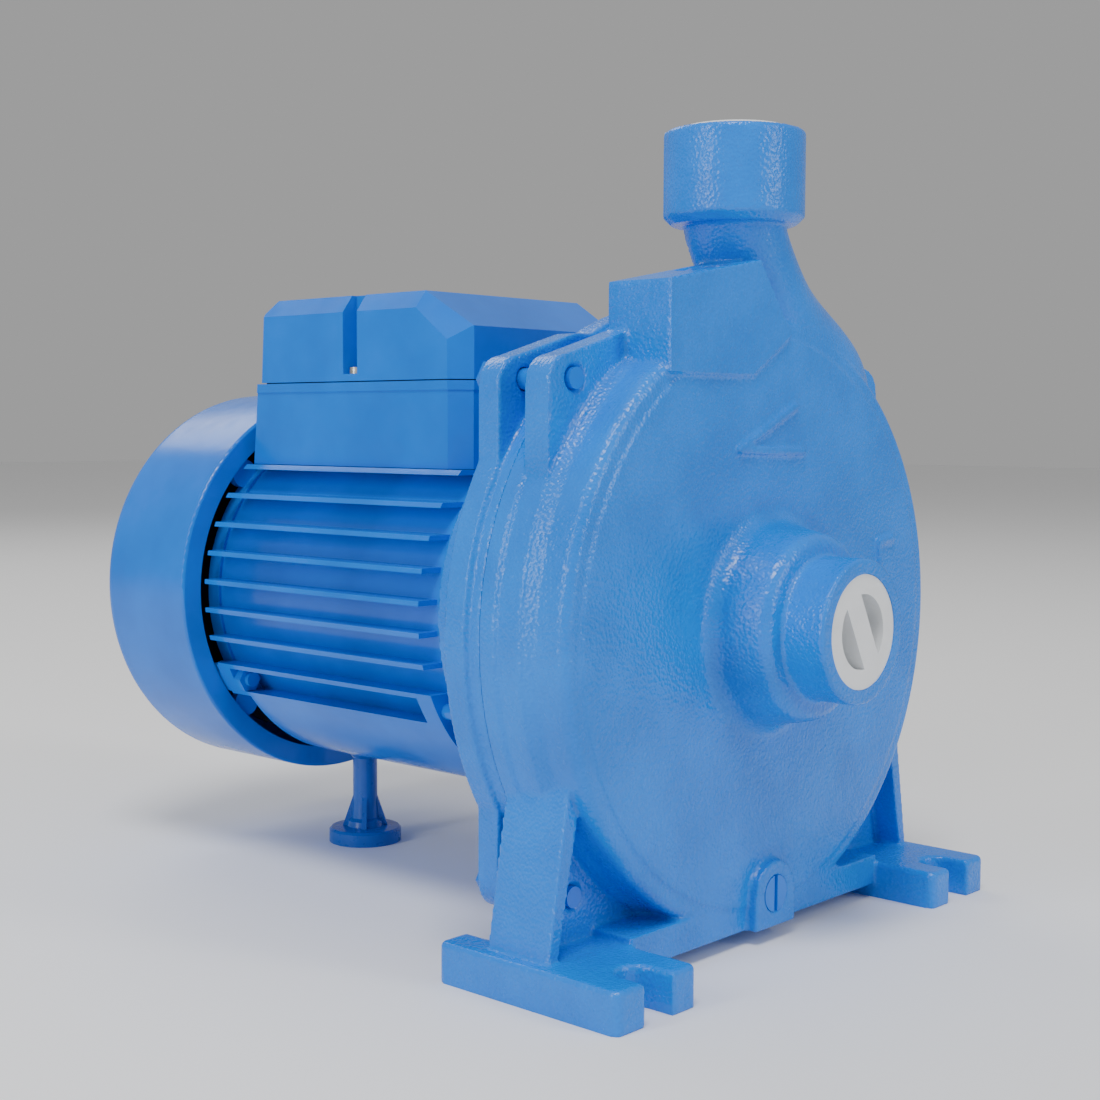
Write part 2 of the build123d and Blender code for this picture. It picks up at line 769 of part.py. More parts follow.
# ---------------------------------------------------------------- motor frame, stator and winding
with BuildPart() as motor_frame:
    ring(FRAME_Y, FRAME_BACK_Y, BORE_R, FRAME_R)
    with BuildSketch(facing_front(FIN_Y)) as fins:
        with Locations(*[(0, FIN_MID_Z + index * FIN_PITCH) for index in range(-4, 5)]):
            Rectangle(2 * FIN_TIP_R, FIN_T)
        with Locations((0, SHAFT_Z)):
            Circle(FIN_TIP_R, mode=Mode.INTERSECT)
            Circle(FRAME_R - 1, mode=Mode.SUBTRACT)
    extrude(fins.sketch, amount=FIN_Y - FIN_BACK_Y)
    with BuildSketch(facing_front(FIN_Y)) as belly:
        with Locations((0, SHAFT_Z)):
            Circle(FIN_TIP_R)
            Circle(FRAME_R - 1, mode=Mode.SUBTRACT)
        with Locations((0, BELLY_Z + 100)):
            Rectangle(200, 200, mode=Mode.SUBTRACT)
    extrude(belly.sketch, amount=FIN_Y - at(169.0))
    # Screw lugs that close the lowest channel at both ends
    for start, end in ((FIN_Y, at(78.4)), (at(173.3), FRAME_BACK_Y)):
        with BuildSketch(facing_front(start)) as lug:
            with Locations((0, BELLY_Z + FIN_PITCH / 2)):
                Rectangle(2 * FIN_TIP_R, FIN_PITCH)
            with Locations((0, SHAFT_Z)):
                Circle(FIN_TIP_R, mode=Mode.INTERSECT)
                Circle(FRAME_R - 1, mode=Mode.SUBTRACT)
        extrude(lug.sketch, amount=start - end)
    # Pad under the terminal box
    slab((-30, at(78.0), 144.0), (30, at(172.0), PAD_Z))
    ring(FRAME_Y, FRAME_BACK_Y, 0, BORE_R, mode=Mode.SUBTRACT)
    # Cable hole and screw holes
    post(-14, at(148.0), 6.5, 138, PAD_Z, mode=Mode.SUBTRACT)
    for x, y in BOX_SCREWS:
        post(x, y, 2.0, 143.5, PAD_Z, mode=Mode.SUBTRACT)
    post(0, STAND_Y, SCREW_R, 33, 40, mode=Mode.SUBTRACT)
    for x, z in LOW_SCREWS:
        rod(x, z, SCREW_R, FIN_Y, at(78.4), mode=Mode.SUBTRACT)
        rod(x, z, SCREW_R, at(173.3), FRAME_BACK_Y, mode=Mode.SUBTRACT)
    for side in (-1, 1):
        rod(side * TOP_SCREW[0], TOP_SCREW[1], SCREW_R, at(78.0), at(86.0), mode=Mode.SUBTRACT)
        rod(side * TOP_SCREW[0], TOP_SCREW[1], SCREW_R, at(164.0), at(172.0), mode=Mode.SUBTRACT)
save(motor_frame.part, "motor_frame")

with BuildPart() as front_frame_screws:
    for x, z in FRAME_SCREWS:
        hexagon(x, z, 8.0, at(51.4), at(55.0))
        rod(x, z, SCREW_R, at(55.0), at(78.4) if z < SHAFT_Z else at(85.5))
save(front_frame_screws.part, "front_frame_screws")

with BuildPart() as rear_frame_screws:
    for x, z in FRAME_SCREWS:
        hexagon(x, z, 8.0, SHIELD_BACK_Y, SHIELD_BACK_Y + 3.6)
        rod(x, z, SCREW_R, at(168.0) if z < SHAFT_Z else at(164.5), SHIELD_BACK_Y)
save(rear_frame_screws.part, "rear_frame_screws")

with BuildPart() as rear_frame_nuts:
    for x, z in LOW_SCREWS:
        hexagon(x, z, 8.0, at(169.8), at(173.3))
        rod(x, z, SCREW_R, at(169.8), at(173.3), mode=Mode.SUBTRACT)
save(rear_frame_nuts.part, "rear_frame_nuts")


def slot_bars(start, end, depth, width, mode):
    """Radial bars in the stator slots, from one station to another."""
    with BuildSketch(facing_front(start)) as bars:
        with Locations((0, SHAFT_Z)):
            with PolarLocations(37.5, STATOR_SLOTS):
                Rectangle(depth, width)
    extrude(bars.sketch, amount=start - end, mode=mode)


with BuildPart() as stator_core:
    ring(STATOR_Y, STATOR_BACK_Y, 30.0, BORE_R)
    slot_bars(STATOR_Y, STATOR_BACK_Y, 11.6, 4.2, Mode.SUBTRACT)
    with BuildSketch(facing_front(STATOR_Y)) as openings:
        with Locations((0, SHAFT_Z)):
            with PolarLocations(31.0, STATOR_SLOTS):
                Rectangle(4.0, 2.0)
    extrude(openings.sketch, amount=STATOR_Y - STATOR_BACK_Y, mode=Mode.SUBTRACT)
save(stator_core.part, "stator_core")

with BuildPart() as winding:
    for start, end in ((at(84.0), STATOR_Y - 0.5), (STATOR_BACK_Y + 0.5, at(166.0))):
        with BuildSketch(SHAFT_PLANE) as overhang:
            with Locations(((start + end) / 2, 38.6)):
                RectangleRounded(end - start, 13.6, 3)
        revolve(overhang.sketch, axis=SHAFT_AXIS)
    slot_bars(at(90.0), at(160.0), 11.6, 4.2, Mode.ADD)
save(winding.part, "winding")

# ---------------------------------------------------------------- end shield, fan and cover
with BuildPart() as end_shield:
    turned(
        [
            (at(168.0), 0),
            (at(168.0), 22.0),
            (FRAME_BACK_Y, 22.0),
            (FRAME_BACK_Y, 45.0),
            (at(174.0), 45.0),
            (at(174.0), BORE_R),
            (FRAME_BACK_Y, BORE_R),
            (FRAME_BACK_Y, FRAME_R + 1),
            (SHIELD_BACK_Y, FRAME_R + 1),
            (SHIELD_BACK_Y, 24.0),
            (at(188.0), 21.0),
            (at(188.0), 0),
        ]
    )
    for x, z in COVER_SCREWS:
        rod(0.94 * x, SHAFT_Z + 0.94 * (z - SHAFT_Z), 5.0, at(183.0), SHIELD_BACK_Y)
        rod(x, z, 3.4, at(183.0), COVER_BACK_Y - COVER_T)
        rod(x, z, 1.7, at(212.0), COVER_BACK_Y - COVER_T, mode=Mode.SUBTRACT)
    for x, z in FRAME_SCREWS:
        rod(x, z, 5.0, FRAME_BACK_Y, SHIELD_BACK_Y)
    ring(FRAME_BACK_Y, at(182.8), COVER_LIP_R - 0.4, COVER_R, mode=Mode.SUBTRACT)
    ring(at(168.0), at(183.5), 0, REAR_BEARING[3], mode=Mode.SUBTRACT)
    ring(at(183.5), at(188.0), 0, 8.5, mode=Mode.SUBTRACT)
    for x, z in FRAME_SCREWS:
        rod(x, z, SCREW_R, FRAME_BACK_Y, SHIELD_BACK_Y, mode=Mode.SUBTRACT)
save(end_shield.part, "end_shield")

# Curved spring washer that preloads the rear bearing
with BuildPart() as curved_washer:
    with BuildSketch(Plane.XY.offset(SHAFT_Z)) as bow:
        with BuildLine():
            near = ThreePointArc((-17.2, at(181.0)), (0, at(183.1)), (17.2, at(181.0)))
            far = ThreePointArc((-17.2, at(181.4)), (0, at(183.5)), (17.2, at(181.4)))
            Line(near @ 0, far @ 0)
            Line(near @ 1, far @ 1)
        make_face()
    extrude(bow.sketch, amount=20, both=True)
    ring(at(180.0), at(184.0), 14.6, 17.2, mode=Mode.INTERSECT)
save(curved_washer.part, "curved_washer")

BLADES = 8
with BuildPart() as cooling_fan:
    turned(
        [
            (at(195.0), 7.0),
            (at(218.0), 7.0),
            (at(218.0), 12.5),
            (at(199.0), 14.0),
            (at(197.4), 16.0),
            (at(197.4), FAN_R),
            (at(195.0), FAN_R),
        ]
    )
    with BuildSketch(facing_front(at(197.0))) as blades:
        with Locations((0, SHAFT_Z)):
            with PolarLocations(FAN_R - 23.0, BLADES):
                Rectangle(44.0, 2.0)
    extrude(blades.sketch, amount=at(197.0) - at(217.0))
save(cooling_fan.part, "cooling_fan")

with BuildPart() as fan_clip:
    ring(at(218.0), at(219.2), 6.4, 10.0)
    slab((-2.2, at(217.0), SHAFT_Z), (2.2, at(220.0), SHAFT_Z + 12), mode=Mode.SUBTRACT)
save(fan_clip.part, "fan_clip")

with BuildPart() as fan_cover:
    turned(
        [
            (COVER_Y, COVER_LIP_R),
            (COVER_Y, COVER_R),
            (COVER_BACK_Y, COVER_R),
            (COVER_BACK_Y, 0),
            (COVER_BACK_Y - COVER_T, 0),
            (COVER_BACK_Y - COVER_T, COVER_R - COVER_T),
            (COVER_Y + COVER_T, COVER_R - COVER_T),
            (COVER_Y + COVER_T, COVER_LIP_R),
        ],
        {1: 1.0, 2: 4.5, 5: 3.0},
    )
    # Air openings in the rear face: a ring of slots with a ring of small holes inside it
    with BuildSketch(facing_front(COVER_BACK_Y - 5)) as grille:
        with Locations((0, SHAFT_Z)):
            with PolarLocations(25.0, 16, start_angle=11.25):
                SlotOverall(20.0, 4.2)
            with PolarLocations(8.0, 6):
                Circle(2.0)
    extrude(grille.sketch, amount=-10, mode=Mode.SUBTRACT)
    for x, z in COVER_SCREWS:
        rod(x, z, 1.7, COVER_BACK_Y - COVER_T, COVER_BACK_Y, mode=Mode.SUBTRACT)
save(fan_cover.part, "fan_cover")

with BuildPart() as cover_screws:
    for x, z in COVER_SCREWS:
        rod(x, z, 1.7, at(213.0), COVER_BACK_Y)
        rod(x, z, 3.0, COVER_BACK_Y, LENGTH / 2)
        with BuildSketch(facing_front(LENGTH / 2)) as drive:
            with Locations((x, z)):
                Rectangle(0.8, 4.0)
                Rectangle(4.0, 0.8)
        extrude(drive.sketch, amount=1.2, mode=Mode.SUBTRACT)
save(cover_screws.part, "cover_screws")

# ---------------------------------------------------------------- terminal box


def box_outline(inset, back):
    """Plan of the terminal box: a rectangle with its two front corners cut off."""
    half = BOX_HALF_X - inset
    front = BOX_FRONT + inset
    corner = BOX_CORNER - 0.586 * inset
    Polygon(
        (-half, back),
        (-half, front + corner),
        (corner - half, front),
        (half - corner, front),
        (half, front + corner),
        (half, back),
        align=None,
    )


def box_layer(bottom, top, inset, back, mode=Mode.ADD):
    """Upright slice of the terminal box between two heights."""
    with BuildSketch(Plane.XY.offset(bottom)) as layer:
        box_outline(inset, back)
    extrude(layer.sketch, amount=top - bottom, mode=mode)


def lid_planes(inset):
    """Sloping faces of the lid, moved inward by a wall thickness."""
    faces = [
        ((0, at(94.3), BOX_TOP_Z), (0, -11.8, 20.0)),
        ((-36.5, 0, BOX_TOP_Z), (-5.6, 0, 4.2)),
        ((36.5, 0, BOX_TOP_Z), (5.6, 0, 4.2)),
        ((-BOX_HALF_X, at(80.3), 180.7), (-121.8, -60.2, 83.2)),
        ((BOX_HALF_X, at(80.3), 180.7), (121.8, -60.2, 83.2)),
        ((0, at(173.1), 169.0), (0, 22.5, 1.3)),
        ((0, at(168.6), BOX_TOP_Z), (0, 5.3, 3.8)),
    ]
    return [Plane(origin=Vector(*p) - Vector(*n).normalized() * inset, z_dir=n) for p, n in faces]


with BuildPart() as terminal_base:
    box_layer(BOX_Z, BOX_LIP_Z, 0.35, at(179.0))
    box_layer(BOX_LIP_Z, BOX_RIM_Z, 0, at(179.0))
    split(bisect_by=Plane(origin=(0, at(178.3), BOX_Z), z_dir=(0, 28.4, 2.6)), keep=Keep.BOTTOM)
    box_layer(FLOOR_Z, BOX_RIM_Z, BOX_WALL, at(170.6), mode=Mode.SUBTRACT)
    box_layer(BOX_Z, PAD_Z, BOX_WALL, at(174.5), mode=Mode.SUBTRACT)
    rod(0, SHAFT_Z, FRAME_R + 0.4, BOX_FRONT - 1, at(182.0), mode=Mode.SUBTRACT)
    # Screw posts and the cradle for the capacitor
    for side in (-1, 1):
        post(side * LID_SCREW_X, CHANNEL_Y, 2.9, FLOOR_Z, BOX_RIM_Z)
        post(side * LID_SCREW_X, CHANNEL_Y, 1.6, 157, BOX_RIM_Z, mode=Mode.SUBTRACT)
    for y in (106.0, 143.0):
        slab((4, at(y), FLOOR_Z), (28, at(y + 3), 161))
    rod(16, 170, 16, at(90.0), at(170.0), mode=Mode.SUBTRACT)
    # Screw holes, cable hole, and the opening for the gland
    for x, y in BOX_SCREWS:
        post(x, y, 2.0, PAD_Z, FLOOR_Z, mode=Mode.SUBTRACT)
    post(-14, at(148.0), 6.5, PAD_Z, FLOOR_Z, mode=Mode.SUBTRACT)
    for side in (-1, 1):
        rod(side * TOP_SCREW[0], TOP_SCREW[1], SCREW_R + 0.2, at(70.0), at(78.0), mode=Mode.SUBTRACT)
        rod(side * TOP_SCREW[0], TOP_SCREW[1], SCREW_R + 0.2, at(172.0), at(180.0), mode=Mode.SUBTRACT)
    with BuildSketch(Plane(origin=(30, GLAND_Y, GLAND_Z), x_dir=(0, 1, 0), z_dir=(1, 0, 0))) as entry:
        Circle(6.0)
    extrude(entry.sketch, amount=20, mode=Mode.SUBTRACT)
save(terminal_base.part, "terminal_base")

with BuildPart() as lid_gasket:
    box_layer(BOX_RIM_Z, LID_Z, 1.2, at(172.0))
    box_layer(BOX_RIM_Z, LID_Z, 2.2, at(170.9), mode=Mode.SUBTRACT)
    for side in (-1, 1):
        post(side * LID_SCREW_X, CHANNEL_Y, 1.8, BOX_RIM_Z, LID_Z, mode=Mode.SUBTRACT)
save(lid_gasket.part, "lid_gasket")

# Hollow of the lid, clear of the two screw channels
with BuildPart() as lid_hollow:
    box_layer(LID_Z, BOX_TOP_Z - BOX_WALL, BOX_WALL, at(170.6))
    for plane in lid_planes(BOX_WALL):
        split(bisect_by=plane, keep=Keep.BOTTOM)
    for side in (-1, 1):
        inner = side * (CHANNEL_X - 2.2)
        outer = side * (BOX_HALF_X + 1)
        slab(
            (min(inner, outer), CHANNEL_Y - CHANNEL_HALF - 2.2, LID_Z),
            (max(inner, outer), CHANNEL_Y + CHANNEL_HALF + 2.2, BOX_TOP_Z),
            mode=Mode.SUBTRACT,
        )

with BuildPart() as terminal_lid:
    box_layer(LID_Z, BOX_TOP_Z, 0, at(173.5))
    for plane in lid_planes(0):
        split(bisect_by=plane, keep=Keep.BOTTOM)
    add(lid_hollow.part, mode=Mode.SUBTRACT)
    for side in (-1, 1):
        inner = side * CHANNEL_X
        outer = side * (BOX_HALF_X + 1)
        slab(
            (min(inner, outer), CHANNEL_Y - CHANNEL_HALF, CHANNEL_Z),
            (max(inner, outer), CHANNEL_Y + CHANNEL_HALF, BOX_TOP_Z + 1),
            mode=Mode.SUBTRACT,
        )
        post(side * LID_SCREW_X, CHANNEL_Y, 1.6, LID_Z, CHANNEL_Z, mode=Mode.SUBTRACT)
save(terminal_lid.part, "terminal_lid")

with BuildPart() as lid_screws:
    for side in (-1, 1):
        post(side * LID_SCREW_X, CHANNEL_Y, 1.6, 157.5, CHANNEL_Z)
        post(side * LID_SCREW_X, CHANNEL_Y, 2.7, CHANNEL_Z, CHANNEL_Z + 2.2)
        with BuildSketch(Plane.XY.offset(CHANNEL_Z + 1.2)) as cross:
            with Locations((side * LID_SCREW_X, CHANNEL_Y)):
                Rectangle(0.7, 3.6)
                Rectangle(3.6, 0.7)
        extrude(cross.sketch, amount=2, mode=Mode.SUBTRACT)
save(lid_screws.part, "lid_screws")

BOARD_TOP = FLOOR_Z + 12.0
STUD_SPOTS = [(x, at(y)) for x in (-24.0, -10.0) for y in (102.0, 115.0, 128.0)]
with BuildPart() as terminal_board:
    slab((-31, at(95.0), FLOOR_Z), (-3, at(135.0), BOARD_TOP))
    for y in (95.0, 107.5, 120.5, 133.0):
        slab((-31, at(y), BOARD_TOP), (-3, at(y + 2), BOARD_TOP + 3))
    for x, y in STUD_SPOTS:
        post(x, y, 2.0, FLOOR_Z + 4, BOARD_TOP, mode=Mode.SUBTRACT)
save(terminal_board.part, "terminal_board")

with BuildPart() as terminal_studs:
    for x, y in STUD_SPOTS:
        post(x, y, 2.0, FLOOR_Z + 4, BOARD_TOP + 8)
        with BuildSketch(Plane.XY.offset(BOARD_TOP)) as nut:
            with Locations((x, y)):
                RegularPolygon(3.5, 6, major_radius=False)
        extrude(nut.sketch, amount=3)
save(terminal_studs.part, "terminal_studs")

with BuildPart() as capacitor:
    rod(16, 170, 16, at(95.0), at(157.0))
    fillet(capacitor.edges(), 1.5)
    for x in (12, 20):
        slab((x - 0.4, at(156.0), 167), (x + 0.4, at(163.0), 173))
save(capacitor.part, "capacitor")

with BuildPart() as box_screws:
    for x, y in BOX_SCREWS:
        post(x, y, 2.0, 144, FLOOR_Z)
        post(x, y, 3.5, FLOOR_Z, FLOOR_Z + 2.2)
save(box_screws.part, "box_screws")


def across(x):
    """Plane on the gland axis at the given x, looking out along +X."""
    return Plane(origin=(x, GLAND_Y, GLAND_Z), x_dir=(0, 1, 0), z_dir=(1, 0, 0))


def bar_out(start, end, radius, mode=Mode.ADD):
    """Round bar along the gland axis."""
    with BuildSketch(across(start)) as section:
        Circle(radius)
    extrude(section.sketch, amount=end - start, mode=mode)


WALL_X = BOX_HALF_X
with BuildPart() as gland_body:
    with BuildSketch(across(WALL_X)) as flats:
        RegularPolygon(8.5, 6, major_radius=False)
    extrude(flats.sketch, amount=5)
    bar_out(34.5, WALL_X, 6.0)
    bar_out(WALL_X + 5, WALL_X + 11, 7.0)
    bar_out(34.5, WALL_X + 4, GLAND_BORE_R, mode=Mode.SUBTRACT)
    bar_out(WALL_X + 4, WALL_X + 11, 5.6, mode=Mode.SUBTRACT)
save(gland_body.part, "gland_body")

with BuildPart() as gland_seal:
    bar_out(WALL_X + 4, WALL_X + 13, 5.6)
    bar_out(WALL_X + 4, WALL_X + 13, GLAND_BORE_R, mode=Mode.SUBTRACT)
save(gland_seal.part, "gland_seal")

with BuildPart() as gland_nut:
    with BuildSketch(across(WALL_X + 5.6)) as nut_flats:
        RegularPolygon(8.5, 6, major_radius=False)
    extrude(nut_flats.sketch, amount=6.4)
    bar_out(WALL_X + 12, WALL_X + 15, 7.4)
    bar_out(WALL_X + 5.6, WALL_X + 11, 7.0, mode=Mode.SUBTRACT)
    bar_out(WALL_X + 11, WALL_X + 13, 5.6, mode=Mode.SUBTRACT)
    bar_out(WALL_X + 13, WALL_X + 15, GLAND_BORE_R, mode=Mode.SUBTRACT)
save(gland_nut.part, "gland_nut")

# ---------------------------------------------------------------- stand under the motor
with BuildPart() as stand:
    spun(
        0,
        STAND_Y,
        [
            (0, 0),
            (STAND_R, 0),
            (STAND_R, 4.4),
            (STAND_R - 0.8, 5.2),
            (6.8, 5.6),
            (6.4, 7.6),
            (5.0, 8.6),
            (4.5, 14.0),
            (4.5, 31.0),
            (6.0, 33.0),
            (6.0, 37.0),
            (0, 37.0),
        ],
    )
    for angle in (45, 135, 225, 315):
        outward = (cos(radians(angle)), sin(radians(angle)), 0)
        aside = (sin(radians(angle)), -cos(radians(angle)), 0)
        with BuildSketch(Plane(origin=(0, STAND_Y, 0), x_dir=outward, z_dir=aside)) as gusset:
            with BuildLine():
                Polyline((3, 3), (8.8, 3), (8.4, 5.2), (4, 18), (3, 18), close=True)
            make_face()
        extrude(gusset.sketch, amount=0.9, both=True)
    ring(at(150.0), at(180.0), 0, FIN_TIP_R, mode=Mode.SUBTRACT)
    post(0, STAND_Y, SCREW_R, 0, 40, mode=Mode.SUBTRACT)
    post(0, STAND_Y, 5.2, 0, 6, mode=Mode.SUBTRACT)
save(stand.part, "stand")

with BuildPart() as stand_screw:
    post(0, STAND_Y, 4.8, 3, 6)
    post(0, STAND_Y, SCREW_R, 6, 40)
save(stand_screw.part, "stand_screw")
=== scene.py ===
import json
import math

import bmesh
import bpy
import numpy as np
from mathutils import Matrix, Vector


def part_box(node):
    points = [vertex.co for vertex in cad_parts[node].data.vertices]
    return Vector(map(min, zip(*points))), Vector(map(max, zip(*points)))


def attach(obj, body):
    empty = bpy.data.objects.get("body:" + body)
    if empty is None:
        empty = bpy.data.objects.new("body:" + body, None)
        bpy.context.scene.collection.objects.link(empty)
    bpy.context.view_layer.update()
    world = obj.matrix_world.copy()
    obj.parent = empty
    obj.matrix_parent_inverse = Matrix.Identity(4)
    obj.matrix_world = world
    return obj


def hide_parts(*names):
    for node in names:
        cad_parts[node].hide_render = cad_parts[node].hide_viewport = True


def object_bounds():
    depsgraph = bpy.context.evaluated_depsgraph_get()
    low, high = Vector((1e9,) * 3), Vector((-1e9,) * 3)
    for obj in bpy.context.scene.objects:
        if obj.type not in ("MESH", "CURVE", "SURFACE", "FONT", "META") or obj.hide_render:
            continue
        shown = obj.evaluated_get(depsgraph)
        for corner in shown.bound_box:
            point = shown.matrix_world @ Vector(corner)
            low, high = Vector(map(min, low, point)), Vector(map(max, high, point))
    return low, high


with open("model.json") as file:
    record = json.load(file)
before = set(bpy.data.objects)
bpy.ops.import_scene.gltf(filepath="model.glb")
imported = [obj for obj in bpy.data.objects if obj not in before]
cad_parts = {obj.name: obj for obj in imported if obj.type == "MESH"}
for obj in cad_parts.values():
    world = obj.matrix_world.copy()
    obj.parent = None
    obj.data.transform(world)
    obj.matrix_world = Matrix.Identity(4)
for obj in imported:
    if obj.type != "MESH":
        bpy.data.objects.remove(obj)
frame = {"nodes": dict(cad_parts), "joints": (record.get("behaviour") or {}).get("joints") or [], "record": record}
NODES = frame["nodes"]
CAD_LOW, CAD_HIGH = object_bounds()

# ---------------------------------------------------------------- places read from the frame
MM = 0.001
CENTRE = (CAD_LOW + CAD_HIGH) / 2
JOINTS = {joint["name"]: joint for joint in frame["joints"]}
SHAFT_Z = JOINTS["rotor_spin"]["pos_m"][2]
SUCTION_LOW, SUCTION_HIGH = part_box("suction_plug")
DISCHARGE_LOW, DISCHARGE_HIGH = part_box("discharge_plug")
PORT_Y = (DISCHARGE_LOW.y + DISCHARGE_HIGH.y) / 2
PORT_R = (DISCHARGE_HIGH.x - DISCHARGE_LOW.x) / 2 + 0.06 * MM
CASING_LOW, CASING_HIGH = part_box("pump_casing")
O_RING_TO_JOINT = 3.05 * MM
JOINT_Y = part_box("casing_o_ring")[1].y + O_RING_TO_JOINT
JOINT_GAP = 0.3 * MM
PORT_FACE_R = 20.4 * MM
SMOOTHING_ROUNDS = 2

# ---------------------------------------------------------------- camera
VIEW_YAW = math.radians(47.73)
VIEW_PITCH = math.radians(4.14)
VIEW_ROLL = math.radians(0.22)
CAMERA_OFFSET = Vector((-0.41396, -0.39477, 0.0324))
FOCAL_LENGTH = 55.44


def make_camera():
    """Camera at the photograph's viewing angle."""
    data = bpy.data.cameras.new("camera")
    data.lens = FOCAL_LENGTH
    data.sensor_width = 36.0
    data.clip_start = 0.01
    camera = bpy.data.objects.new("camera", data)
    bpy.context.scene.collection.objects.link(camera)
    ahead = Vector(
        (
            math.sin(VIEW_YAW) * math.cos(VIEW_PITCH),
            math.cos(VIEW_YAW) * math.cos(VIEW_PITCH),
            -math.sin(VIEW_PITCH),
        )
    )
    right = Vector((math.cos(VIEW_YAW), -math.sin(VIEW_YAW), 0))
    up = right.cross(ahead)
    rolled_right = right * math.cos(VIEW_ROLL) + up * math.sin(VIEW_ROLL)
    rolled_up = up * math.cos(VIEW_ROLL) - right * math.sin(VIEW_ROLL)
    turn = Matrix((rolled_right, rolled_up, -ahead)).transposed().to_4x4()
    place = Vector((0, 0, CENTRE.z)) + CAMERA_OFFSET
    camera.matrix_world = Matrix.Translation(place) @ turn
    bpy.context.scene.camera = camera


# ---------------------------------------------------------------- materials
def new_material(name, colour, roughness, metallic=0.0, coat=0.0, gloss=0.5):
    """Principled material with constant base values."""
    material = bpy.data.materials.new(name)
    material.use_nodes = True
    shader = material.node_tree.nodes["Principled BSDF"]
    shader.inputs["Base Color"].default_value = (*colour, 1)
    shader.inputs["Roughness"].default_value = roughness
    shader.inputs["Metallic"].default_value = metallic
    shader.inputs["Coat Weight"].default_value = coat
    shader.inputs["Coat Roughness"].default_value = 0.08
    shader.inputs["Specular IOR Level"].default_value = gloss
    return material, shader


def add_node(material, kind, **values):
    """Shader node with its sockets set."""
    node = material.node_tree.nodes.new(kind)
    for name, value in values.items():
        node.inputs[name.replace("_", " ")].default_value = value
    return node


def object_position(material):
    """Position in the object's own frame, in metres."""
    return material.node_tree.nodes.new("ShaderNodeTexCoord").outputs["Object"]


def noise(material, size, detail=2.0, roughness=0.5):
    """Noise whose features are about size metres across."""
    node = add_node(material, "ShaderNodeTexNoise", Scale=1 / size, Detail=detail, Roughness=roughness)
    material.node_tree.links.new(object_position(material), node.inputs["Vector"])
    return node.outputs["Fac"]


def cells(material, size, smoothness=0.6):
    """Rounded pebbles about size metres across."""
    node = material.node_tree.nodes.new("ShaderNodeTexVoronoi")
    node.feature = "SMOOTH_F1"
    node.inputs["Scale"].default_value = 1 / size
    node.inputs["Smoothness"].default_value = smoothness
    material.node_tree.links.new(object_position(material), node.inputs["Vector"])
    return node.outputs["Distance"]


def ramp(material, value, low, high, low_at=0.0, high_at=1.0):
    """Colour between low and high as value goes from low_at to high_at."""
    node = material.node_tree.nodes.new("ShaderNodeValToRGB")
    first, last = node.color_ramp.elements
    first.position, first.color = low_at, (*low, 1)
    last.position, last.color = high_at, (*high, 1)
    material.node_tree.links.new(value, node.inputs["Fac"])
    return node.outputs["Color"]


def spread(material, value, low, high, from_low=0.3, from_high=0.7):
    """Number between low and high as value goes from from_low to from_high."""
    node = material.node_tree.nodes.new("ShaderNodeMapRange")
    node.inputs["From Min"].default_value = from_low
    node.inputs["From Max"].default_value = from_high
    node.inputs["To Min"].default_value = low
    node.inputs["To Max"].default_value = high
    material.node_tree.links.new(value, node.inputs["Value"])
    return node.outputs["Result"]


def bump(material, shader, layers):
    """Chain of bumps on the shader: (height, depth in metres, strength) for each layer."""
    links = material.node_tree.links
    normal = None
    for height, depth, strength in layers:
        node = add_node(material, "ShaderNodeBump", Distance=depth, Strength=strength)
        links.new(height, node.inputs["Height"])
        if normal is not None:
            links.new(normal, node.inputs["Normal"])
        normal = node.outputs["Normal"]
    links.new(normal, shader.inputs["Normal"])
    return normal


BLUE = (0.0, 0.165, 0.70)
BLUE_DEEP = (0.0, 0.15, 0.65)
BLUE_PALE = (0.0, 0.18, 0.75)
CAST_DEEP = (0.0, 0.18, 0.70)
CAST_PALE = (0.0, 0.215, 0.80)


def cast_enamel():
    """Glossy blue enamel over rough sand-cast iron."""
    material, shader = new_material("cast_enamel", CAST_PALE, 0.24, gloss=0.4)
    links = material.node_tree.links
    tone = noise(material, 0.02, detail=4)
    links.new(ramp(material, tone, CAST_DEEP, CAST_PALE, 0.35, 0.65), shader.inputs["Base Color"])
    links.new(spread(material, noise(material, 0.003), 0.18, 0.3), shader.inputs["Roughness"])
    bump(
        material,
        shader,
        [
            (noise(material, 0.003, detail=1), 0.0003, 0.4),
            (cells(material, 0.001), 0.0004, 0.5),
            (noise(material, 0.0007, detail=2, roughness=0.6), 0.0001, 0.4),
        ],
    )
    return material


def smooth_enamel():
    """Glossy blue enamel on smooth metal, with faint orange peel."""
    roughness = 0.2
    material, shader = new_material("smooth_enamel", BLUE, roughness, gloss=0.4)
    links = material.node_tree.links
    tone = noise(material, 0.03, detail=3)
    links.new(ramp(material, tone, BLUE_DEEP, BLUE_PALE, 0.35, 0.65), shader.inputs["Base Color"])
    shine = spread(material, noise(material, 0.006), roughness - 0.03, roughness + 0.05)
    links.new(shine, shader.inputs["Roughness"])
    bump(
        material,
        shader,
        [(noise(material, 0.004, detail=1), 0.0001, 0.25), (noise(material, 0.0009, detail=1), 0.00004, 0.3)],
    )
    return material


